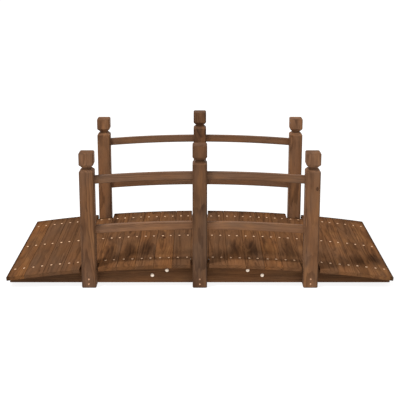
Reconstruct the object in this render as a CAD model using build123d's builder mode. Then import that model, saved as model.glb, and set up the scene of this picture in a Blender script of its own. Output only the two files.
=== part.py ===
from build123d import *
import math
import os

# Garden moon bridge: a low arched timber footbridge with two post-and-rail sides.
# Frame: millimetres, +X along the walkway, +Y across it, +Z up, origin on the
# ground at the middle of the bridge. "Front" is the -Y side, "left" is -X.

# ---------------------------------------------------------------- overall
length = 1500.0            # deck, end to end
width = 670.0              # deck boards, also outside face of post to outside face of post

# ---------------------------------------------------------------- deck arch
arch_radius = 5313.0       # top of the beams, underside of the boards
arch_crown = 82.0          # height of that arc at mid-span
board_thickness = 14.0
board_width = 71.0
board_count = 21
board_pitch = 71.53        # along the arch
board_edge = 0.6           # eased long edges
short_board_length = 557.0 # the three boards that stop at the backs of the posts

# ---------------------------------------------------------------- posts
post_size = 56.0
post_x = 429.2             # centre of the outer posts
post_height_outer = 538.0
post_height_centre = 568.0
post_arris = 4.0           # chamfer on the four upright edges
cap_arris = 3.5            # chamfer round the top
cap_bottom = 46.0          # below the top: upper lip of the V groove
neck_drop = 60.0           # below the top: bottom of the V groove
shoulder_drop = 74.0       # below the top: lower lip of the V groove
neck_depth = 14.0
foot_arris = 1.5

# ---------------------------------------------------------------- beams
beam_thickness = 35.0
beam_length = 1496.0
beam_seam_x = 27.0         # the two halves of each beam butt here, behind the middle post
seam_gap = 0.6
plate_thickness = 18.0
plate_height = 58.0
plate_bottom = 8.0
plate_x0, plate_x1 = -231.0, 289.0

# ---------------------------------------------------------------- rails
rail_radius = 5000.0       # top of either rail
rail_depth = 30.0          # tall
rail_thickness = 20.0      # across
upper_rail_crown = 460.5
lower_rail_crown = 262.0
housing_depth = 15.0       # how far a rail end runs into a post
housing_gap = 0.3          # clearance round a rail end

# ---------------------------------------------------------------- derived
post_y = width / 2 - post_size / 2
beam_outer_y = width / 2 - post_size
half_post = post_size / 2
board_angle = board_pitch / arch_radius

os.makedirs("parts", exist_ok=True)


def arc_z(x, crown, radius):
    """Height at x of an arc with its top at (0, crown)."""
    return crown - radius + math.sqrt(radius * radius - x * x)


def arc_points(x0, x1, crown, radius):
    """Start, middle and end of that arc between x0 and x1."""
    return [(x, arc_z(x, crown, radius)) for x in (x0, (x0 + x1) / 2, x1)]


def groove_points(side, top):
    """The V groove under a post's cap, on one side of the post, seen square on."""
    out, full, deep = side * (half_post + 4), side * half_post, side * (half_post - neck_depth)
    return [
        (out, top - shoulder_drop),
        (full, top - shoulder_drop),
        (deep, top - neck_drop),
        (full, top - cap_bottom),
        (out, top - cap_bottom),
    ]


# ---------------------------------------------------------------- posts
post_places = [("left", -post_x), ("centre", 0.0), ("right", post_x)]
for row, y in (("front", -post_y), ("back", post_y)):
    for place, x in post_places:
        top = post_height_centre if place == "centre" else post_height_outer
        # Faces of this post that a rail runs into: +1 looks along +X.
        faces = {"left": (1,), "centre": (-1, 1), "right": (-1,)}[place]
        with BuildPart() as post:
            with BuildSketch(Plane(origin=(x, y, 0))):
                Rectangle(post_size, post_size)
            extrude(amount=top)
            chamfer(post.edges().filter_by(Axis.Z), length=post_arris)
            chamfer(post.faces().sort_by(Axis.Z)[-1].edges(), length=cap_arris)
            chamfer(post.faces().sort_by(Axis.Z)[0].edges(), length=foot_arris)
            # V groove, cut through along Y and then along X.
            for across in ((1, 0, 0), (0, 1, 0)):
                along = (0, -1, 0) if across[0] else (1, 0, 0)
                with BuildSketch(Plane(origin=(x, y, 0), x_dir=across, z_dir=along)):
                    for side in (-1, 1):
                        with BuildLine():
                            Polyline(*groove_points(side, top), close=True)
                        make_face()
                extrude(amount=post_size, both=True, mode=Mode.SUBTRACT)
            # Housings for the rail ends.
            for face in faces:
                x_face = x + face * half_post
                x_in = x_face - face * (housing_depth + housing_gap)
                x_out = x_face + face * 3
                x0, x1 = min(x_in, x_out), max(x_in, x_out)
                with BuildSketch(Plane(origin=(0, y, 0), x_dir=(1, 0, 0), z_dir=(0, -1, 0))):
                    for crown in (upper_rail_crown, lower_rail_crown):
                        over = arc_points(x0, x1, crown + housing_gap, rail_radius + housing_gap)
                        under = arc_points(x0, x1, crown - rail_depth - housing_gap, rail_radius - rail_depth - housing_gap)
                        with BuildLine():
                            ThreePointArc(*over)
                            Line(over[2], under[2])
                            ThreePointArc(*under)
                            Line(under[0], over[0])
                        make_face()
                extrude(amount=rail_thickness / 2 + housing_gap, both=True, mode=Mode.SUBTRACT)
        name = f"post_{row}_{place}"
        post.part.label = name
        export_step(post.part, f"parts/{name}.step")

# ---------------------------------------------------------------- rails
# Each bay has an upper and a lower rail, housed in the posts at both ends.
rail_near = half_post - housing_depth
rail_far = post_x - half_post + housing_depth
for row, y in (("front", -post_y), ("back", post_y)):
    for level, crown in (("upper", upper_rail_crown), ("lower", lower_rail_crown)):
        for place, x0, x1 in (("left", -rail_far, -rail_near), ("right", rail_near, rail_far)):
            with BuildPart() as rail:
                over = arc_points(x0, x1, crown, rail_radius)
                under = arc_points(x0, x1, crown - rail_depth, rail_radius - rail_depth)
                with BuildSketch(Plane(origin=(0, y, 0), x_dir=(1, 0, 0), z_dir=(0, -1, 0))):
                    with BuildLine():
                        ThreePointArc(*over)
                        Line(over[2], under[2])
                        ThreePointArc(*under)
                        Line(under[0], over[0])
                    make_face()
                extrude(amount=rail_thickness / 2, both=True)
                long_edges = [e for e in rail.edges() if e.length > 100]
                chamfer(long_edges, length=1.5)
            name = f"rail_{row}_{level}_{place}"
            rail.part.label = name
            export_step(rail.part, f"parts/{name}.step")

# ---------------------------------------------------------------- beams
# Three beams carry the deck. Each is two halves that butt at beam_seam_x.
beam_rows = (
    ("front", -(beam_outer_y - beam_thickness / 2)),
    ("centre", 0.0),
    ("back", beam_outer_y - beam_thickness / 2),
)
for row, y in beam_rows:
    halves = (
        ("left", -beam_length / 2, beam_seam_x - seam_gap / 2),
        ("right", beam_seam_x + seam_gap / 2, beam_length / 2),
    )
    for place, x0, x1 in halves:
        over = arc_points(x0, x1, arch_crown, arch_radius)
        with BuildPart() as beam:
            with BuildSketch(Plane(origin=(0, y, 0), x_dir=(1, 0, 0), z_dir=(0, -1, 0))):
                with BuildLine():
                    ThreePointArc(*over)
                    Polyline(over[2], (x1, 0), (x0, 0), over[0])
                make_face()
            extrude(amount=beam_thickness / 2, both=True)
        name = f"beam_{row}_{place}"
        beam.part.label = name
        export_step(beam.part, f"parts/{name}.step")

# ---------------------------------------------------------------- splice plates
# A board on the inner face of each beam joins its two halves.
inner_face = beam_outer_y - beam_thickness
plate_rows = (
    ("front", -inner_face + plate_thickness / 2),
    ("centre", beam_thickness / 2 + plate_thickness / 2),
    ("back", inner_face - plate_thickness / 2),
)
for row, y in plate_rows:
    with BuildPart() as plate:
        with BuildSketch(Plane(origin=((plate_x0 + plate_x1) / 2, y, plate_bottom))):
            Rectangle(plate_x1 - plate_x0, plate_thickness)
        extrude(amount=plate_height)
        chamfer(plate.edges().filter_by(Axis.Y), length=5)
    name = f"splice_plate_{row}"
    plate.part.label = name
    export_step(plate.part, f"parts/{name}.step")

# ---------------------------------------------------------------- deck boards
half_count = board_count // 2
for i in range(-half_count, half_count + 1):
    a = i * board_angle
    centre_z = arch_crown - arch_radius
    run = short_board_length if i in (-6, 0, 6) else width
    seat = Plane(
        origin=(arch_radius * math.sin(a), 0, centre_z + arch_radius * math.cos(a)),
        x_dir=(math.cos(a), 0, -math.sin(a)),
        z_dir=(math.sin(a), 0, math.cos(a)),
    )
    with BuildPart() as board:
        with BuildSketch(seat):
            Rectangle(board_width, run)
        extrude(amount=board_thickness)
        chamfer(board.edges().filter_by(Axis.Y), length=board_edge)
    name = f"deck_board_{i + half_count + 1:02d}"
    board.part.label = name
    export_step(board.part, f"parts/{name}.step")
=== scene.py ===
import math
import random

import bmesh
import bpy
from mathutils import Matrix, Vector


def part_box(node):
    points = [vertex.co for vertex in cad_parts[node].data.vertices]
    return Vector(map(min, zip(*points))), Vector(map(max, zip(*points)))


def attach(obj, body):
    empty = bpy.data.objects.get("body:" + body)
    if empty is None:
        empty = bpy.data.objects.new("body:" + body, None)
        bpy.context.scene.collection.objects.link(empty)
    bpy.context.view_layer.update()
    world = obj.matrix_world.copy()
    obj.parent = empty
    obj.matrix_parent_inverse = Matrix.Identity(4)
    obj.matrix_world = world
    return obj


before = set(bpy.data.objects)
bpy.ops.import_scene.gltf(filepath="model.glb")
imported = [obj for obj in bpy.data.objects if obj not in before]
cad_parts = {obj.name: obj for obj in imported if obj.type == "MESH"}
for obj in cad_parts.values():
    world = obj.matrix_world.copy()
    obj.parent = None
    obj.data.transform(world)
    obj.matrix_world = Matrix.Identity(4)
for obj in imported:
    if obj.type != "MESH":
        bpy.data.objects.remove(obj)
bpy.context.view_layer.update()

# ------------------------------------------------------------------ the design's own numbers, in metres
ARCH_R, ARCH_CROWN = 5.313, 0.082
BOARD_T, BOARD_W, BOARD_PITCH = 0.014, 0.0710, 0.07153
POST, POST_X, POST_Y = 0.056, 0.4292, 0.307
POST_TOP = {"left": 0.538, "centre": 0.568, "right": 0.538}
BEAM_FACE_Y, BEAM_T = 0.279, 0.035
RAIL_R, RAIL_D = 5.0, 0.030
RAIL_CROWN = {"upper": 0.4605, "lower": 0.262}
NAIL_ROWS = (-0.257, 0.0, 0.257)
NAIL_X = 0.0171            # each nail of a pair, from the pair's middle
NAIL_IN = 0.0033           # pairs sit a little towards the bridge's middle on their board
PLATE_T = 0.018
TONE = 0.775                # one factor over all the timber's colours


def lin(r, g, b):
    """An sRGB colour, 0 to 255, as linear RGBA."""
    def one(c):
        c = c / 255
        return c / 12.92 if c <= 0.04045 else ((c + 0.055) / 1.055) ** 2.4
    return (one(r), one(g), one(b), 1.0)


# ------------------------------------------------------------------ small helper for writing node trees
class Tree:
    def __init__(self, tree):
        self.t, self.n, self.l = tree, tree.nodes, tree.links

    def node(self, kind, **props):
        n = self.n.new(kind)
        for k, v in props.items():
            setattr(n, k, v)
        return n

    def put(self, socket, value):
        if isinstance(value, bpy.types.NodeSocket):
            self.l.new(value, socket)
        else:
            socket.default_value = value

    def math(self, op, a, b=0.5, c=None, clamp=False):
        n = self.node("ShaderNodeMath", operation=op, use_clamp=clamp)
        self.put(n.inputs[0], a)
        self.put(n.inputs[1], b)
        if c is not None:
            self.put(n.inputs[2], c)
        return n.outputs[0]

    def vec(self, op, a, b=(0, 0, 0)):
        n = self.node("ShaderNodeVectorMath", operation=op)
        self.put(n.inputs[0], a)
        self.put(n.inputs[1], b)
        return n.outputs["Value"] if op in ("DOT_PRODUCT", "LENGTH", "DISTANCE") else n.outputs["Vector"]

    def split(self, v):
        n = self.node("ShaderNodeSeparateXYZ")
        self.put(n.inputs[0], v)
        return n.outputs

    def join(self, x, y, z):
        n = self.node("ShaderNodeCombineXYZ")
        for s, v in zip(n.inputs, (x, y, z)):
            self.put(s, v)
        return n.outputs[0]

    def noise(self, v, detail=2.0, rough=0.5, scale=1.0, lac=2.0, distort=0.0):
        n = self.node("ShaderNodeTexNoise")
        self.put(n.inputs["Vector"], v)
        n.inputs["Scale"].default_value = scale
        n.inputs["Detail"].default_value = detail
        n.inputs["Roughness"].default_value = rough
        n.inputs["Lacunarity"].default_value = lac
        n.inputs["Distortion"].default_value = distort
        return n.outputs["Fac"], n.outputs["Color"]

    def white(self, w):
        n = self.node("ShaderNodeTexWhiteNoise", noise_dimensions="1D")
        self.put(n.inputs["W"], w)
        return n.outputs["Value"]

    def smooth(self, v, a, b, lo=0.0, hi=1.0):
        n = self.node("ShaderNodeMapRange", interpolation_type="SMOOTHSTEP")
        self.put(n.inputs["Value"], v)
        self.put(n.inputs["From Min"], a)
        self.put(n.inputs["From Max"], b)
        self.put(n.inputs["To Min"], lo)
        self.put(n.inputs["To Max"], hi)
        return n.outputs["Result"]

    def mix(self, fac, a, b, blend="MIX"):
        n = self.node("ShaderNodeMix", data_type="RGBA", blend_type=blend)
        n.clamp_factor = True
        self.put(n.inputs["Factor"], fac)
        self.put(n.inputs[6], a)
        self.put(n.inputs[7], b)
        return n.outputs[2]

    def scale3(self, v, s):
        n = self.node("ShaderNodeVectorMath", operation="MULTIPLY")
        self.put(n.inputs[0], v)
        n.inputs[1].default_value = s
        return n.outputs["Vector"]


# ------------------------------------------------------------------ stained, lightly scorched softwood
def make_timber_group():
    """Growth rings, fibres, scorching, knots, dark arrises and end grain, in a piece's own frame: x along the grain.
    Spot, Extra and Bright also bring in painted shade and light set by the caller.
    """
    g = bpy.data.node_groups.new("timber", "ShaderNodeTree")

    def sock(name, kind, default=None, out=False):
        s = g.interface.new_socket(name, in_out="OUTPUT" if out else "INPUT", socket_type=kind)
        if default is not None:
            s.default_value = default
        return s

    sock("P", "NodeSocketVector")
    sock("Half", "NodeSocketVector", (0.3, 0.03, 0.03))
    sock("Seed", "NodeSocketVector")
    sock("Pith", "NodeSocketVector", (0.01, 0.05, 0.0))
    sock("Rings", "NodeSocketFloat", 190.0)
    sock("Contrast", "NodeSocketFloat", 0.6)
    sock("Warm", "NodeSocketFloat", 0.4)
    sock("Grey", "NodeSocketFloat", 0.3)
    sock("Burn", "NodeSocketFloat", 0.4)
    sock("Gold", "NodeSocketFloat", 0.3)
    sock("Wander", "NodeSocketFloat", 1.0)
    sock("Bright", "NodeSocketFloat", 1.0)
    sock("Edge", "NodeSocketFloat", 0.6)
    sock("EdgeW", "NodeSocketFloat", 0.0055)
    sock("Spot", "NodeSocketVector", (0.0, 0.0, 0.06))
    sock("SpotK", "NodeSocketFloat", 0.0)
    sock("EndMask", "NodeSocketFloat", 0.0)
    sock("KnotA", "NodeSocketVector", (9.0, 0.0, 0.008))
    sock("KnotB", "NodeSocketVector", (9.0, 0.0, 0.008))
    sock("Extra", "NodeSocketFloat", 0.0)
    sock("Color", "NodeSocketColor", out=True)
    sock("Roughness", "NodeSocketFloat", out=True)
    sock("Height", "NodeSocketFloat", out=True)

    t = Tree(g)
    i = t.node("NodeGroupInput").outputs
    o = t.node("NodeGroupOutput").inputs
    P = i["P"]
    Q = t.vec("ADD", P, i["Seed"])
    px, py, pz = t.split(P)
    a0, d0, tilt = t.split(i["Pith"])

    # knots: each a short branch straight through the piece's thickness
    push, cores, rims = 0.0, [], []
    for name in ("KnotA", "KnotB"):
        kx, ky, kr = t.split(i[name])
        dx = t.math("MULTIPLY", t.math("SUBTRACT", px, kx), 0.62)
        dy = t.math("SUBTRACT", py, ky)
        d = t.math("SQRT", t.math("ADD", t.math("MULTIPLY", dx, dx), t.math("MULTIPLY", dy, dy)))
        wob, _ = t.noise(t.scale3(Q, (60.0, 60.0, 20.0)), detail=1.0)
        d = t.math("ADD", d, t.math("MULTIPLY", t.math("SUBTRACT", wob, 0.5), 0.003))
        rel = t.math("DIVIDE", d, kr)
        near = t.math("POWER", 2.718, t.math("MULTIPLY", t.math("MULTIPLY", rel, rel), -0.22))
        side = t.math("MULTIPLY", t.math("MULTIPLY", near, kr), 1.1)
        push = t.math("ADD", push, side)
        cores.append(t.smooth(rel, 0.75, 1.05, 1.0, 0.0))
        rims.append(t.math("MULTIPLY", t.smooth(rel, 0.7, 0.98), t.smooth(rel, 1.02, 1.35, 1.0, 0.0)))
    core = t.math("MAXIMUM", cores[0], cores[1])
    rim = t.math("MAXIMUM", rims[0], rims[1])

    # growth rings: distance from a pith line that wanders along the piece
    _, wander = t.noise(t.scale3(Q, (2.4, 5.0, 5.0)), detail=2.0, rough=0.45)
    wx, wy, wz = t.split(wander)
    yy = t.math("ADD", t.math("ADD", py, a0), t.math("MULTIPLY", px, tilt))
    yy = t.math("ADD", yy, t.math("MULTIPLY", t.math("MULTIPLY", t.math("SUBTRACT", wx, 0.5), 0.030), i["Wander"]))
    zz = t.math("ADD", t.math("ADD", pz, d0), t.math("MULTIPLY", t.math("MULTIPLY", t.math("SUBTRACT", wy, 0.5), 0.060), i["Wander"]))
    r = t.math("SQRT", t.math("ADD", t.math("MULTIPLY", yy, yy), t.math("MULTIPLY", zz, zz)))
    r = t.math("ADD", r, push)
    jit, _ = t.noise(t.scale3(Q, (9.0, 55.0, 55.0)), detail=2.0)
    s = t.math("ADD", t.math("MULTIPLY", r, i["Rings"]), t.math("MULTIPLY", t.math("SUBTRACT", jit, 0.5), 1.1))
    f = t.math("FRACT", s)
    late = t.math("MULTIPLY", t.smooth(f, 0.35, 0.88), t.smooth(f, 0.93, 1.0, 1.0, 0.0))
    ring_tone = t.white(t.math("FLOOR", s))

    # fibres, at three widths
    mid, _ = t.noise(t.scale3(Q, (5.0, 150.0, 150.0)), detail=3.0, rough=0.6)
    fine, _ = t.noise(t.scale3(Q, (26.0, 950.0, 950.0)), detail=2.0, rough=0.6)
    streak, _ = t.noise(t.scale3(Q, (1.6, 46.0, 46.0)), detail=2.0, rough=0.55)
    # patches of stain, some cm to some tens of cm
    blotch, blotch_c = t.noise(t.scale3(Q, (4.0, 11.0, 11.0)), detail=3.0, rough=0.55)
    bx, by, bz = t.split(blotch_c)

    # distance to the nearest arris: the middle one of the three distances to the sides
    hx, hy, hz = t.split(i["Half"])
    ex = t.math("SUBTRACT", hx, t.math("ABSOLUTE", px))
    ey = t.math("SUBTRACT", hy, t.math("ABSOLUTE", py))
    ez = t.math("SUBTRACT", hz, t.math("ABSOLUTE", pz))
    med = t.math("MAXIMUM", t.math("MINIMUM", ex, ey), t.math("MINIMUM", t.math("MAXIMUM", ex, ey), ez))
    ragged, _ = t.noise(t.scale3(Q, (45.0, 45.0, 45.0)), detail=2.0)
    med = t.math("ADD", med, t.math("MULTIPLY", t.math("SUBTRACT", ragged, 0.5), 0.003))
    arris = t.smooth(med, 0.0006, i["EdgeW"], 1.0, 0.0)

    # colour
    base = t.mix(t.smooth(bx, 0.35, 0.65), lin(120, 83, 56), lin(112, 81, 58))
    base = t.mix(t.math("MULTIPLY", i["Warm"], t.smooth(by, 0.30, 0.62), clamp=True), base, lin(143, 94, 56))
    base = t.mix(t.math("MULTIPLY", i["Grey"], t.smooth(bz, 0.38, 0.66), clamp=True), base, lin(112, 87, 70))
    patch, patch_c = t.noise(t.vec("ADD", t.scale3(Q, (5.5, 24.0, 24.0)), (6.3, 1.9, 4.4)), detail=3.0, rough=0.6)
    ga, gb, gc = t.split(patch_c)
    base = t.mix(t.smooth(patch, 0.50, 0.66, 0.0, i["Gold"]), base, lin(152, 106, 66))
    base = t.mix(t.smooth(gb, 0.52, 0.68, 0.0, i["Gold"]), base, lin(86, 60, 42))
    dark = t.mix(0.72, base, lin(52, 31, 19))
    amount = t.math("MULTIPLY", late, i["Contrast"])
    amount = t.math("ADD", amount, t.math("MULTIPLY", t.math("SUBTRACT", ring_tone, 0.45), 0.34))
    amount = t.math("ADD", amount, t.math("MULTIPLY", t.math("SUBTRACT", mid, 0.5), 1.05))
    amount = t.math("ADD", amount, t.math("MULTIPLY", t.math("SUBTRACT", streak, 0.5), 1.1), clamp=True)
    col = t.mix(amount, base, dark)
    glow = t.math("MULTIPLY", t.smooth(t.math("SUBTRACT", mid, t.math("MULTIPLY", late, 0.25)), 0.55, 0.75), 0.45)
    col = t.mix(glow, col, lin(160, 116, 82))
    # scorching: soft dark patches that follow the grain
    scorch_and_painted_shade, _ = t.noise(t.vec("ADD", t.scale3(Q, (6.5, 20.0, 20.0)), (3.1, 7.7, 1.3)), detail=3.0, rough=0.6)
    scorch_and_painted_shade = t.math("MULTIPLY", t.smooth(scorch_and_painted_shade, 0.50, 0.72), i["Burn"])
    # one deeper dark oval where a board has it: partly a real burn, partly painted shadow of the near rails and posts
    sx, sy, sl = t.split(i["Spot"])
    ux = t.math("DIVIDE", t.math("SUBTRACT", px, sx), sl)
    uy = t.math("DIVIDE", t.math("SUBTRACT", py, sy), 0.029)
    oval = t.math("SQRT", t.math("ADD", t.math("MULTIPLY", ux, ux), t.math("MULTIPLY", uy, uy)))
    frayed, _ = t.noise(t.vec("ADD", t.scale3(Q, (11.0, 60.0, 60.0)), (5.0, 1.0, 9.0)), detail=3.0, rough=0.6)
    oval = t.math("ADD", oval, t.math("MULTIPLY", t.math("SUBTRACT", frayed, 0.5), 1.3))
    oval = t.math("MULTIPLY", t.smooth(oval, 0.15, 1.25, 1.0, 0.0), i["SpotK"])
    scorch_and_painted_shade = t.math("MAXIMUM", scorch_and_painted_shade, oval)
    # Extra brings in the painted shade of the post grooves, and the darker rings and board ends
    scorch_and_painted_shade = t.math("ADD", scorch_and_painted_shade, i["Extra"], clamp=True)
    scorch_and_painted_shade = t.math("MULTIPLY", scorch_and_painted_shade, t.smooth(t.math("ADD", late, t.math("MULTIPLY", mid, 0.8)), 0.0, 0.9, 0.62, 1.0))
    col = t.mix(scorch_and_painted_shade, col, lin(58, 39, 28))
    # fine fibres lighten and darken a little everywhere
    col = t.mix(t.smooth(fine, 0.35, 0.65, 0.0, 0.16), col, lin(44, 28, 18))
    # long thin checks
    line, _ = t.noise(t.scale3(Q, (2.2, 75.0, 75.0)), detail=1.0)
    line = t.smooth(t.math("ABSOLUTE", t.math("SUBTRACT", line, 0.5)), 0.0, 0.010, 1.0, 0.0)
    where, _ = t.noise(t.vec("ADD", t.scale3(Q, (7.0, 30.0, 30.0)), (8.0, 2.0, 5.0)), detail=1.0)
    check = t.math("MULTIPLY", line, t.smooth(where, 0.60, 0.68))
    col = t.mix(t.math("MULTIPLY", check, 0.75), col, lin(30, 19, 13))
    # knots
    col = t.mix(t.math("MULTIPLY", core, 0.7), col, lin(74, 42, 24))
    col = t.mix(t.math("MULTIPLY", rim, 0.8), col, lin(38, 23, 15))
    # arrises are scorched darkest
    col = t.mix(t.math("MULTIPLY", arris, i["Edge"]), col, lin(50, 33, 22))
    # end grain drinks more stain
    col = t.mix(t.math("MULTIPLY", i["EndMask"], 0.17), col, lin(44, 27, 17))
    bright = t.node("ShaderNodeVectorMath", operation="SCALE")
    t.put(bright.inputs[0], col)
    t.put(bright.inputs["Scale"], i["Bright"])
    t.put(o["Color"], bright.outputs["Vector"])

    rough = t.math("ADD", 0.70, t.math("MULTIPLY", t.math("SUBTRACT", mid, 0.5), 0.25))
    rough = t.math("ADD", rough, t.math("MULTIPLY", scorch_and_painted_shade, 0.14))
    rough = t.math("SUBTRACT", rough, t.math("MULTIPLY", late, 0.06))
    rough = t.math("ADD", rough, t.math("MULTIPLY", i["EndMask"], 0.12), clamp=True)
    t.put(o["Roughness"], rough)

    h = t.math("MULTIPLY", late, 0.45)
    h = t.math("ADD", h, t.math("MULTIPLY", mid, 0.55))
    h = t.math("ADD", h, t.math("MULTIPLY", fine, 0.30))
    h = t.math("SUBTRACT", h, t.math("MULTIPLY", check, 1.1))
    h = t.math("SUBTRACT", h, t.math("MULTIPLY", rim, 0.5))
    h = t.math("ADD", h, t.math("MULTIPLY", arris, t.math("MULTIPLY", t.math("SUBTRACT", ragged, 0.5), 1.2)))
    t.put(o["Height"], h)
    return g


TIMBER = make_timber_group()


def timber(name, *, origin, axes, half, rng, arc=None, nails=None, warm=0.4, grey=0.3, burn=0.35, bright=1.0,
           edge=0.6, edge_w=0.0055, contrast=0.6, knots=(), rings=None, gold=0.3, wander=1.0, spot=None, groove=None, cap=1.0, end=1.0, outline=None, near_lift=1.0, low_painted_light=1.0, spec=0.12, bump=0.00045):
    """A material for one timber. origin and axes place its own frame (x along the grain) in the row frame.
    arc=(radius, crown) makes the third coordinate the distance from that arc. nails marks the boards' fixings."""
    m = bpy.data.materials.new(name)
    m.use_nodes = True
    t = Tree(m.node_tree)
    for n in list(t.n):
        t.n.remove(n)
    out = t.node("ShaderNodeOutputMaterial")
    bsdf = t.node("ShaderNodeBsdfPrincipled")
    t.l.new(bsdf.outputs[0], out.inputs["Surface"])
    coord = t.node("ShaderNodeTexCoord")
    mapping = t.node("ShaderNodeMapping", vector_type="TEXTURE")
    t.put(mapping.inputs["Vector"], coord.outputs["Object"])
    mapping.inputs["Location"].default_value = origin
    mapping.inputs["Rotation"].default_value = Matrix(axes).transposed().to_euler("XYZ")
    local = mapping.outputs["Vector"]
    if arc is not None:
        radius, crown = arc
        x, y, z = t.split(coord.outputs["Object"])
        up = t.math("ADD", z, radius - crown)
        dist = t.math("SQRT", t.math("ADD", t.math("MULTIPLY", x, x), t.math("MULTIPLY", up, up)))
        lx, ly, lz = t.split(local)
        local = t.join(lx, ly, t.math("SUBTRACT", dist, radius))
    grp = t.node("ShaderNodeGroup", node_tree=TIMBER)
    t.put(grp.inputs["P"], local)
    grp.inputs["Half"].default_value = half
    grp.inputs["Seed"].default_value = [rng.uniform(-30, 30) for _ in range(3)]
    grp.inputs["Pith"].default_value = (rng.uniform(-0.02, 0.02), rng.choice((-1, 1)) * rng.uniform(0.025, 0.07), rng.uniform(-0.02, 0.02))
    grp.inputs["Rings"].default_value = rings or rng.uniform(120, 190)
    grp.inputs["Contrast"].default_value = contrast
    grp.inputs["Warm"].default_value = warm
    grp.inputs["Grey"].default_value = grey
    grp.inputs["Burn"].default_value = burn
    grp.inputs["Gold"].default_value = gold
    grp.inputs["Wander"].default_value = wander
    bright = bright * TONE
    grp.inputs["Bright"].default_value = bright
    grp.inputs["Edge"].default_value = edge
    grp.inputs["EdgeW"].default_value = edge_w
    if spot is not None:
        grp.inputs["Spot"].default_value = spot[:3]
        grp.inputs["SpotK"].default_value = spot[3]
    for key, k in zip(("KnotA", "KnotB"), knots):
        grp.inputs[key].default_value = k
    # ends of the piece: faces square to the grain
    along = t.vec("DOT_PRODUCT", coord.outputs["Normal"], tuple(axes[0]))
    t.put(grp.inputs["EndMask"], t.smooth(t.math("ABSOLUTE", along), 0.75, 0.95, 0.0, 0.05 if outline else end))
    if nails is not None:
        # a darker ring round each fixing
        lx, ly, lz = t.split(local)
        dy = t.math("SUBTRACT", t.math("ABSOLUTE", t.math("SUBTRACT", ly, nails)), NAIL_X)
        ax = t.math("ABSOLUTE", lx)
        dx = t.math("MINIMUM", ax, t.math("ABSOLUTE", t.math("SUBTRACT", ax, NAIL_ROWS[2])))
        d = t.math("SQRT", t.math("ADD", t.math("MULTIPLY", dx, dx), t.math("MULTIPLY", dy, dy)))
        halo = t.smooth(d, 0.0042, 0.0100, 0.55, 0.0)
        # and the far ends of the boards are darker for the last few cm
        dim = t.smooth(lx, half[0] - 0.055, half[0] - 0.025, 0.0, 0.24)
        t.put(grp.inputs["Extra"], t.math("MAXIMUM", halo, dim))
    if groove is not None:
        # painted shade: the V cut round a post's neck is painted dark, deepest at the bottom of the cut
        lx, ly, lz = t.split(local)
        depth = t.math("MINIMUM", t.math("SUBTRACT", half[1], t.math("ABSOLUTE", ly)), t.math("SUBTRACT", half[2], t.math("ABSOLUTE", lz)))
        band = t.smooth(t.math("ABSOLUTE", t.math("SUBTRACT", lx, groove)), 0.0135, 0.0155, 1.0, 0.0)
        t.put(grp.inputs["Extra"], t.math("MULTIPLY", t.smooth(depth, 0.0055, 0.0130, 0.02, 0.34), band))
        # painted light: the caps are painted lighter than the faces below them, where more light falls from above
        t.put(grp.inputs["Bright"], t.smooth(lx, groove - 0.004, groove + 0.004, bright, bright * cap))
    if outline is not None:
        # painted shade: the deck's outline is painted darker than the edges between boards, most at the boards' far
        # ends and the end boards' outer sides, where the rounded edges turn away: outline=(edge inside, edge at far
        # ends, edge at near ends, side)
        lx, ly, lz = t.split(local)
        inside, far, near, side = outline
        out = t.smooth(lx, half[0] - 0.016, half[0] - 0.008)
        if side:
            out = t.math("MAXIMUM", out, t.smooth(t.math("MULTIPLY", ly, side), half[1] - 0.018, half[1] - 0.009))
        e = t.smooth(out, 0.0, 1.0, inside, far)
        e = t.math("MAXIMUM", e, t.smooth(lx, 0.006 - half[0], 0.012 - half[0], near, inside))
        t.put(grp.inputs["EdgeW"], t.smooth(out, 0.0, 1.0, edge_w, 0.0125))
        t.put(grp.inputs["Edge"], e)
        # painted light: the overhang outside the near beam is painted lighter than the deck behind it, which the near
        # rails shade
        t.put(grp.inputs["Bright"], t.smooth(lx, -0.278, -0.262, bright * near_lift, bright))
    if low_painted_light != 1.0:
        # painted light and shade: a beam is painted paler towards its lower edge, below the deck overhang's shade, and
        # both parts are darker at the bridge's thin ends
        lx, ly, lz = t.split(local)
        along_x = t.math("ABSOLUTE", t.split(coord.outputs["Object"])[0])
        upper = t.smooth(along_x, 0.40, 0.52, bright, bright * 0.84)
        lower = t.smooth(along_x, 0.40, 0.52, bright * low_painted_light, bright * 0.84)
        t.put(grp.inputs["Bright"], t.smooth(lz, -0.034, -0.006, lower, upper))
    t.put(bsdf.inputs["Base Color"], grp.outputs["Color"])
    t.put(bsdf.inputs["Roughness"], grp.outputs["Roughness"])
    bsdf.inputs["Specular IOR Level"].default_value = spec
    b = t.node("ShaderNodeBump")
    b.inputs["Strength"].default_value = 0.8
    b.inputs["Distance"].default_value = bump
    t.put(b.inputs["Height"], grp.outputs["Height"])
    t.put(bsdf.inputs["Normal"], b.outputs["Normal"])
    return m


def dress(node, material, bevel=0.0009, segments=2):
    """Gives a CAD node its material, and eases its sharp edges a little."""
    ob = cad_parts[node]
    ob.data.materials.clear()
    ob.data.materials.append(material)
    for p in ob.data.polygons:
        p.material_index = 0
    weld = ob.modifiers.new("weld", "WELD")
    weld.merge_threshold = 0.00001
    be = ob.modifiers.new("ease", "BEVEL")
    be.width = bevel
    be.segments = segments
    be.limit_method = "ANGLE"
    be.angle_limit = math.radians(20)
    be.harden_normals = True
    be.use_clamp_overlap = True
    return ob


X, Y, Z = (1, 0, 0), (0, 1, 0), (0, 0, 1)

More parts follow.
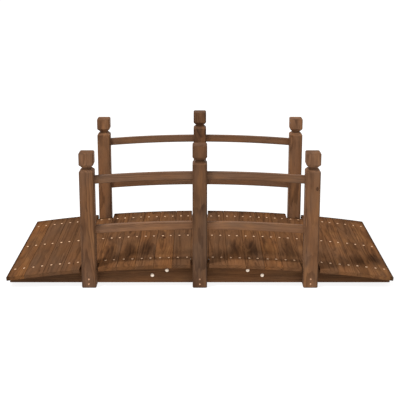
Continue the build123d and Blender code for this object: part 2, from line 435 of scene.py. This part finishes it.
# ------------------------------------------------------------------ posts: grain upright
post_looks = {
    # burn, warm, grey, bright, cap (painted light: the cap painted lighter than the face below), end, knots (height,
    # across, radius)
    "post_front_left": dict(burn=0.45, warm=0.45, grey=0.55, bright=1.06, cap=1.22, end=2.4, knots=[]),
    "post_front_centre": dict(burn=0.55, warm=0.10, grey=0.50, bright=0.86, cap=1.02, knots=[]),
    "post_front_right": dict(burn=0.42, warm=0.42, grey=0.55, bright=1.16, cap=1.28, end=2.0, knots=[(0.13, 0.016, 0.004)]),
    "post_back_left": dict(burn=0.40, warm=0.50, grey=0.35, bright=1.24, cap=1.04, end=1.5, knots=[]),
    "post_back_centre": dict(burn=0.45, warm=0.20, grey=0.40, bright=0.89, cap=1.00, knots=[(0.02, 0.012, 0.006)]),
    "post_back_right": dict(burn=0.42, warm=0.50, grey=0.28, bright=1.36, cap=1.20, end=1.5, knots=[(-0.20, 0.008, 0.006)]),
}
for name, look in post_looks.items():
    _, row, place = name.split("_")
    x = {"left": -POST_X, "centre": 0.0, "right": POST_X}[place]
    y = -POST_Y if row == "front" else POST_Y
    h = POST_TOP[place] / 2
    rng = random.Random("timber " + name)
    mat = timber(name, origin=(x, y, h), axes=(Z, X, Y), half=(h, POST / 2, POST / 2), rng=rng, edge=0.48, edge_w=0.0065,
                 groove=h - 0.060, contrast=0.50, gold=0.36, spec=0.08, **look)
    dress(name, mat, 0.0021, 3)

# ------------------------------------------------------------------ rails: grain follows the curve
for row in ("front", "back"):
    for level in ("upper", "lower"):
        for place in ("left", "right"):
            name = f"rail_{row}_{level}_{place}"
            rng = random.Random("timber " + name)
            y = -POST_Y if row == "front" else POST_Y
            radius, crown = RAIL_R - RAIL_D / 2, RAIL_CROWN[level] - RAIL_D / 2
            lo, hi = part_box(name)
            xm = (lo.x + hi.x) / 2
            mat = timber(
                name, origin=(xm, y, 0.0), axes=(X, Y, Z), half=(0.2016 + 0.02, 0.010, 0.015), arc=(radius, crown), rng=rng,
                warm=rng.uniform(0.15, 0.3), grey=rng.uniform(0.4, 0.6), burn=rng.uniform(0.12, 0.25),
                bright={("front", "lower"): 1.40, ("front", "upper"): 1.12}.get((row, level), 1.16), edge=0.24 if level == "lower" else 0.40, edge_w=0.0055, contrast=0.36, rings=210,
            )
            dress(name, mat, 0.0007)

# ------------------------------------------------------------------ beams and the plates behind them
for row in ("front", "centre", "back"):
    y = {"front": -(BEAM_FACE_Y - BEAM_T / 2), "centre": 0.0, "back": BEAM_FACE_Y - BEAM_T / 2}[row]
    for place in ("left", "right"):
        name = f"beam_{row}_{place}"
        rng = random.Random("timber " + name)
        lo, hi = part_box(name)
        # the beam's lower band is painted paler: painted light below the deck overhang's shade
        mat = timber(
            name, origin=((lo.x + hi.x) / 2, y, 0.041), axes=(X, Y, Z), half=((hi.x - lo.x) / 2, BEAM_T / 2, 0.06), rng=rng,
            warm=0.5, grey=0.15, burn=0.25, bright=0.80, low_painted_light=1.28, edge=0.3, contrast=0.35, rings=170, spec=0.03,
        )
        dress(name, mat)
    name = f"splice_plate_{row}"
    rng = random.Random("timber " + name)
    lo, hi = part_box(name)
    c = (lo + hi) / 2
    mat = timber(
        name, origin=tuple(c), axes=(X, Y, Z), half=tuple((hi - lo) / 2), rng=rng,
        warm=0.5, grey=0.05, burn=0.3, bright=0.64, edge=0.4, contrast=0.4, rings=170, spec=0.03,
    )
    dress(name, mat)

# ------------------------------------------------------------------ deck boards: grain across the bridge
board_looks = {
    # a spot is (along, across, half length, strength) of a deeper dark oval: partly a real burn, partly painted shadow
    # of the near rails and posts
    -10: dict(warm=0.9, grey=0.0, bright=0.88, burn=0.30, gold=0.5, knots=[]),
    -9: dict(warm=0.3, grey=0.3, burn=0.20, bright=0.87, gold=0.15, contrast=0.25, wander=0.3, knots=[]),
    -8: dict(warm=0.25, grey=0.3, burn=0.25, bright=0.85, gold=0.15, contrast=0.28, wander=0.3, knots=[]),
    -7: dict(warm=0.3, grey=0.3, burn=0.25, bright=0.86, gold=0.2, contrast=0.28, wander=0.4),
    -5: dict(spot=(-0.15, 0.004, 0.100, 0.85)),
    -4: dict(spot=(-0.145, -0.002, 0.108, 0.86), knots=[]),
    -3: dict(spot=(-0.128, 0.002, 0.115, 0.86), bright=0.92),
    -2: dict(warm=0.75, grey=0.1, bright=0.97, burn=0.40, gold=0.6),
    -1: dict(burn=0.15, bright=0.90, warm=0.2, gold=0.1, wander=0.3, knots=[]),
    1: dict(burn=0.15, bright=0.91, warm=0.25, gold=0.1, wander=0.3, knots=[]),
    2: dict(spot=(-0.140, 0.000, 0.112, 0.86), knots=[]),
    3: dict(spot=(-0.136, 0.003, 0.118, 0.88), knots=[]),
    4: dict(warm=0.8, grey=0.05, bright=0.99, burn=0.35, gold=0.6),
    5: dict(spot=(-0.132, -0.003, 0.108, 0.84), bright=0.93),
    7: dict(bright=0.95, burn=0.35, gold=0.25, wander=0.3, knots=[]),
    8: dict(warm=0.7, bright=1.05, burn=0.50, gold=0.6),
    9: dict(spot=(-0.20, 0.000, 0.080, 0.88), bright=0.92),
    10: dict(warm=0.7, spot=(-0.15, 0.008, 0.085, 0.88), bright=0.97, gold=0.6, knots=[]),
}
board_frames = {}
for i in range(-10, 11):
    name = f"deck_board_{i + 11:02d}"
    rng = random.Random("timber " + name)
    a = i * BOARD_PITCH / ARCH_R
    normal = Vector((math.sin(a), 0, math.cos(a)))
    mid = Vector((0, 0, ARCH_CROWN - ARCH_R)) + normal * (ARCH_R + BOARD_T / 2)
    across = normal.cross(Vector(Y))            # towards -X
    axes = (Y, tuple(across), tuple(normal))
    half_len = 0.2785 if i in (-6, 0, 6) else 0.335
    sign = (i > 0) - (i < 0)
    nails = NAIL_IN * sign                      # across points to -X, so this is towards the middle
    board_frames[i] = (mid + normal * (BOARD_T / 2), Vector(across), normal, nails)
    look = dict(
        warm=rng.uniform(0.35, 0.7), grey=rng.uniform(0.05, 0.25), burn=rng.uniform(0.35, 0.7),
        bright=rng.uniform(0.91, 0.98), contrast=rng.uniform(0.34, 0.48), gold=rng.uniform(0.25, 0.45), wander=0.6,
    )
    look.update(board_looks.get(i, {}))
    if "knots" not in look and rng.random() < 0.4:
        look["knots"] = [(rng.uniform(-0.25, 0.25), rng.uniform(-0.02, 0.02), rng.uniform(0.004, 0.007))]
    side = 1 if i == -10 else -1 if i == 10 else 0
    look["bright"] *= 0.95 if i < 0 else 0.93 if i < 6 else 1.0
    # painted light: on the right bay the overhang is painted lighter than the deck behind it, which the near rails
    # shade
    look["near_lift"] = 1.16 if 0 < i < 6 else 1.0
    # outline: painted shade along the deck's far ends and the end boards' outer sides
    mat = timber(name, origin=tuple(mid), axes=axes, half=(half_len, BOARD_W / 2, BOARD_T / 2), rng=rng, nails=nails,
                 edge_w=0.006, outline=(0.06, 0.85, 0.05, side), spec=0.0, **look)
    dress(name, mat, 0.0004)


# ------------------------------------------------------------------ fixings
def metal(name, colour, dirt, rough):
    m = bpy.data.materials.new(name)
    m.use_nodes = True
    t = Tree(m.node_tree)
    for n in list(t.n):
        t.n.remove(n)
    out = t.node("ShaderNodeOutputMaterial")
    bsdf = t.node("ShaderNodeBsdfPrincipled")
    t.l.new(bsdf.outputs[0], out.inputs["Surface"])
    coord = t.node("ShaderNodeTexCoord")
    a, _ = t.noise(t.scale3(coord.outputs["Object"], (260.0, 260.0, 260.0)), detail=3.0, rough=0.6)
    b, _ = t.noise(t.scale3(coord.outputs["Object"], (1400.0, 1400.0, 1400.0)), detail=2.0)
    c, _ = t.noise(t.scale3(coord.outputs["Object"], (31.0, 31.0, 31.0)), detail=0.0)
    col = t.mix(t.smooth(a, 0.42, 0.68, 0.0, 0.55), colour, dirt)
    col = t.mix(t.smooth(c, 0.35, 0.65, 0.0, 0.30), col, dirt)
    t.put(bsdf.inputs["Base Color"], col)
    bsdf.inputs["Metallic"].default_value = 0.15
    t.put(bsdf.inputs["Roughness"], t.smooth(a, 0.3, 0.7, rough - 0.08, rough + 0.15))
    bsdf.inputs["Specular IOR Level"].default_value = 0.3
    bump = t.node("ShaderNodeBump")
    bump.inputs["Strength"].default_value = 0.35
    bump.inputs["Distance"].default_value = 0.00012
    t.put(bump.inputs["Height"], b)
    t.put(bsdf.inputs["Normal"], bump.outputs["Normal"])
    return m


def lathe(bm, matrix, profile, segments, cap=True):
    """Adds a turned shape: profile is (radius, height) pairs from the rim in; matrix places its +Z axis."""
    rings = []
    for r, h in profile:
        if r <= 0:
            rings.append([bm.verts.new(matrix @ Vector((0, 0, h)))])
        else:
            rings.append([
                bm.verts.new(matrix @ Vector((r * math.cos(2 * math.pi * k / segments), r * math.sin(2 * math.pi * k / segments), h)))
                for k in range(segments)
            ])
    for a, b in zip(rings, rings[1:]):
        for k in range(segments):
            k2 = (k + 1) % segments
            if len(b) == 1:
                bm.faces.new((a[k], a[k2], b[0]))
            else:
                bm.faces.new((a[k], a[k2], b[k2], b[k]))
    if cap and len(rings[0]) > 1:
        bm.faces.new(list(reversed(rings[0])))


def frame_at(point, normal, spin=0.0):
    z = Vector(normal).normalized()
    ref = Vector((0, 0, 1)) if abs(z.z) < 0.9 else Vector((1, 0, 0))
    x = ref.cross(z).normalized()
    y = z.cross(x)
    m = Matrix((x, y, z)).transposed().to_4x4()
    m.translation = Vector(point)
    return m @ Matrix.Rotation(spin, 4, "Z")


def finish_mesh(bm, name, material, smooth_angle=35):
    bmesh.ops.recalc_face_normals(bm, faces=bm.faces)
    me = bpy.data.meshes.new(name)
    bm.to_mesh(me)
    bm.free()
    ob = bpy.data.objects.new(name, me)
    bpy.context.scene.collection.objects.link(ob)
    me.materials.append(material)
    for p in me.polygons:
        p.use_smooth = True
    me.set_sharp_from_angle(angle=math.radians(smooth_angle))
    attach(ob, "root")
    return ob


nail_metal = metal("nail_heads", lin(208, 168, 132), lin(156, 114, 82), 0.50)
bolt_metal = metal("bolt_heads", lin(255, 240, 222), lin(226, 200, 172), 0.34)
screw_metal = metal("screw_heads", lin(196, 150, 116), lin(116, 82, 60), 0.50)
steel = metal("nuts_and_washers", lin(196, 186, 172), lin(130, 110, 92), 0.38)

# nails: two to a board over each beam, one joined mesh for each row
nail_profile = [(0.0040, -0.0012), (0.0045, 0.0000), (0.00455, 0.0004), (0.0041, 0.0009), (0.0029, 0.0013), (0.0014, 0.0015), (0.0, 0.00155)]
rng = random.Random("nails")
for row_name, y in zip(("front", "centre", "back"), NAIL_ROWS):
    bm = bmesh.new()
    for i, (top, across, normal, shift) in board_frames.items():
        for side in (-1, 1):
            p = top + across * (shift + side * NAIL_X + rng.uniform(-0.0011, 0.0011)) + Vector((0, y + rng.uniform(-0.0014, 0.0014), 0))
            n = (normal + Vector((rng.uniform(-0.05, 0.05), rng.uniform(-0.05, 0.05), 0))).normalized()
            lathe(bm, frame_at(p, n, rng.uniform(0, 6.28)), nail_profile, 16)
    finish_mesh(bm, f"deck_nails_{row_name}", nail_metal)

# two screws through the foot of each post: raised head with a cross recess
screw_rng = random.Random("screws")
for row, sy in (("front", -1), ("back", 1)):
    bm = bmesh.new()
    for x in (-POST_X, 0.0, POST_X):
        for z in (0.0356, 0.0158):
            p = Vector((x + screw_rng.uniform(-0.0008, 0.0008), sy * 0.335, z + screw_rng.uniform(-0.0006, 0.0006)))
            m = frame_at(p, (0, sy, 0), screw_rng.uniform(0, 6.28))
            r, n = 0.0035, 24
            # rim to the edge of the recess
            lathe(bm, m, [(r - 0.0004, -0.0012), (r, 0.0001), (r * 0.97, 0.0005), (r * 0.80, 0.0010), (r * 0.56, 0.0013)], n)
            bm.verts.ensure_lookup_table()
            ring = bm.verts[-n:]
            # cross recess: the crown dips in four slots
            inner, floor_ring = [], []
            for k in range(n):
                a = 2 * math.pi * k / n
                slot = max(abs(math.cos(2 * a)), 0.0) ** 3
                rr = r * (0.16 + 0.34 * slot)
                inner.append(bm.verts.new(m @ Vector((rr * math.cos(a), rr * math.sin(a), 0.00135))))
                rr *= 0.72
                floor_ring.append(bm.verts.new(m @ Vector((rr * math.cos(a), rr * math.sin(a), 0.0002))))
            centre = bm.verts.new(m @ Vector((0, 0, -0.0003)))
            for k in range(n):
                k2 = (k + 1) % n
                bm.faces.new((ring[k], ring[k2], inner[k2], inner[k]))
                bm.faces.new((inner[k], inner[k2], floor_ring[k2], floor_ring[k]))
                bm.faces.new((floor_ring[k], floor_ring[k2], centre))
    finish_mesh(bm, f"foot_screws_{row}", screw_metal, 40)

# mushroom-head bolts through each side beam and the plate behind it, with washer and nut inside
bolt_places = [(-0.1868, 0.0305), (-0.1292, 0.0513), (0.1878, 0.0513), (0.2452, 0.0305)]
dome = [(0.0062, -0.0010), (0.0069, 0.0002), (0.0072, 0.0008), (0.0069, 0.0016), (0.0060, 0.0029), (0.0045, 0.0040), (0.0024, 0.0047), (0.0, 0.0049)]
for row, sy in (("front", -1), ("back", 1)):
    bm = bmesh.new()
    for x, z in bolt_places:
        lathe(bm, frame_at((x, sy * BEAM_FACE_Y, z), (0, sy, 0), 0.3), dome, 32)
    finish_mesh(bm, f"beam_bolts_{row}", bolt_metal)
    bm = bmesh.new()
    y_in = BEAM_FACE_Y - BEAM_T - PLATE_T
    nut_rng = random.Random("nuts " + row)
    for x, z in bolt_places:
        m = frame_at((x, sy * y_in, z), (0, -sy, 0), nut_rng.uniform(0, 1))
        lathe(bm, m, [(0.0070, -0.0005), (0.0074, 0.0001), (0.0074, 0.0011), (0.0070, 0.0013), (0.0036, 0.0013), (0.0036, 0.0002)], 28)
        # hexagon nut with chamfered corners
        lathe(bm, m, [(0.0055, 0.0014), (0.00575, 0.0018), (0.00575, 0.0060), (0.0052, 0.0066), (0.0031, 0.0066), (0.0031, 0.0055)], 6)
        # threaded end of the bolt
        thread = [(0.0029, 0.0020)]
        for k in range(6):
            thread += [(0.0029, 0.0056 + k * 0.0009), (0.0026, 0.00605 + k * 0.0009)]
        thread += [(0.0024, 0.0112), (0.0, 0.0113)]
        lathe(bm, m, thread, 18)
    finish_mesh(bm, f"bolt_nuts_{row}", steel, 30)

# ------------------------------------------------------------------ stage
def stage_floor():
    bm = bmesh.new()
    bmesh.ops.create_grid(bm, x_segments=2, y_segments=2, size=40)
    me = bpy.data.meshes.new("floor")
    bm.to_mesh(me)
    bm.free()
    ob = bpy.data.objects.new("floor", me)
    bpy.context.scene.collection.objects.link(ob)
    ob.location = (0, 0, -0.0003)
    m = bpy.data.materials.new("pale_floor")
    m.use_nodes = True
    b = m.node_tree.nodes["Principled BSDF"]
    b.inputs["Base Color"].default_value = (0.22, 0.22, 0.22, 1)
    b.inputs["Roughness"].default_value = 0.95
    b.inputs["Specular IOR Level"].default_value = 0.0
    b.inputs["Emission Color"].default_value = (1, 1, 1, 1)
    b.inputs["Emission Strength"].default_value = 0.86
    me.materials.append(m)
    return ob


stage_floor()

world = bpy.data.worlds.new("studio")
bpy.context.scene.world = world
world.use_nodes = True
world.node_tree.nodes["Background"].inputs[0].default_value = (1, 1, 1, 1)
world.node_tree.nodes["Background"].inputs[1].default_value = 1.0


def softbox(name, loc, target, size, power):
    d = bpy.data.lights.new(name, "AREA")
    d.shape = "RECTANGLE"
    d.size, d.size_y = size
    d.energy = power
    ob = bpy.data.objects.new(name, d)
    bpy.context.scene.collection.objects.link(ob)
    ob.location = loc
    ob.rotation_mode = "QUATERNION"
    ob.rotation_quaternion = (Vector(target) - Vector(loc)).to_track_quat("-Z", "Y")
    return ob


softbox("key", (-2.26, -1.65, 4.82), (0, 0, 0.1), (0.80, 0.80), 225)

scene = bpy.context.scene
scene.view_settings.view_transform = "Standard"
scene.view_settings.look = "None"
scene.view_settings.exposure = 0.0
scene.view_settings.gamma = 1.0

# ------------------------------------------------------------------ camera
cam_data = bpy.data.cameras.new("camera")
cam = bpy.data.objects.new("camera", cam_data)
scene.collection.objects.link(cam)
cam_data.sensor_width = 36.0
cam_data.lens = 78.85
cam_data.shift_y = -0.2
cam_data.clip_start, cam_data.clip_end = 0.05, 200
cam.location = (0.0006, -3.5197, 1.3528)
cam.rotation_euler = (math.pi / 2 - 0.2122, 0, 0)
scene.camera = cam
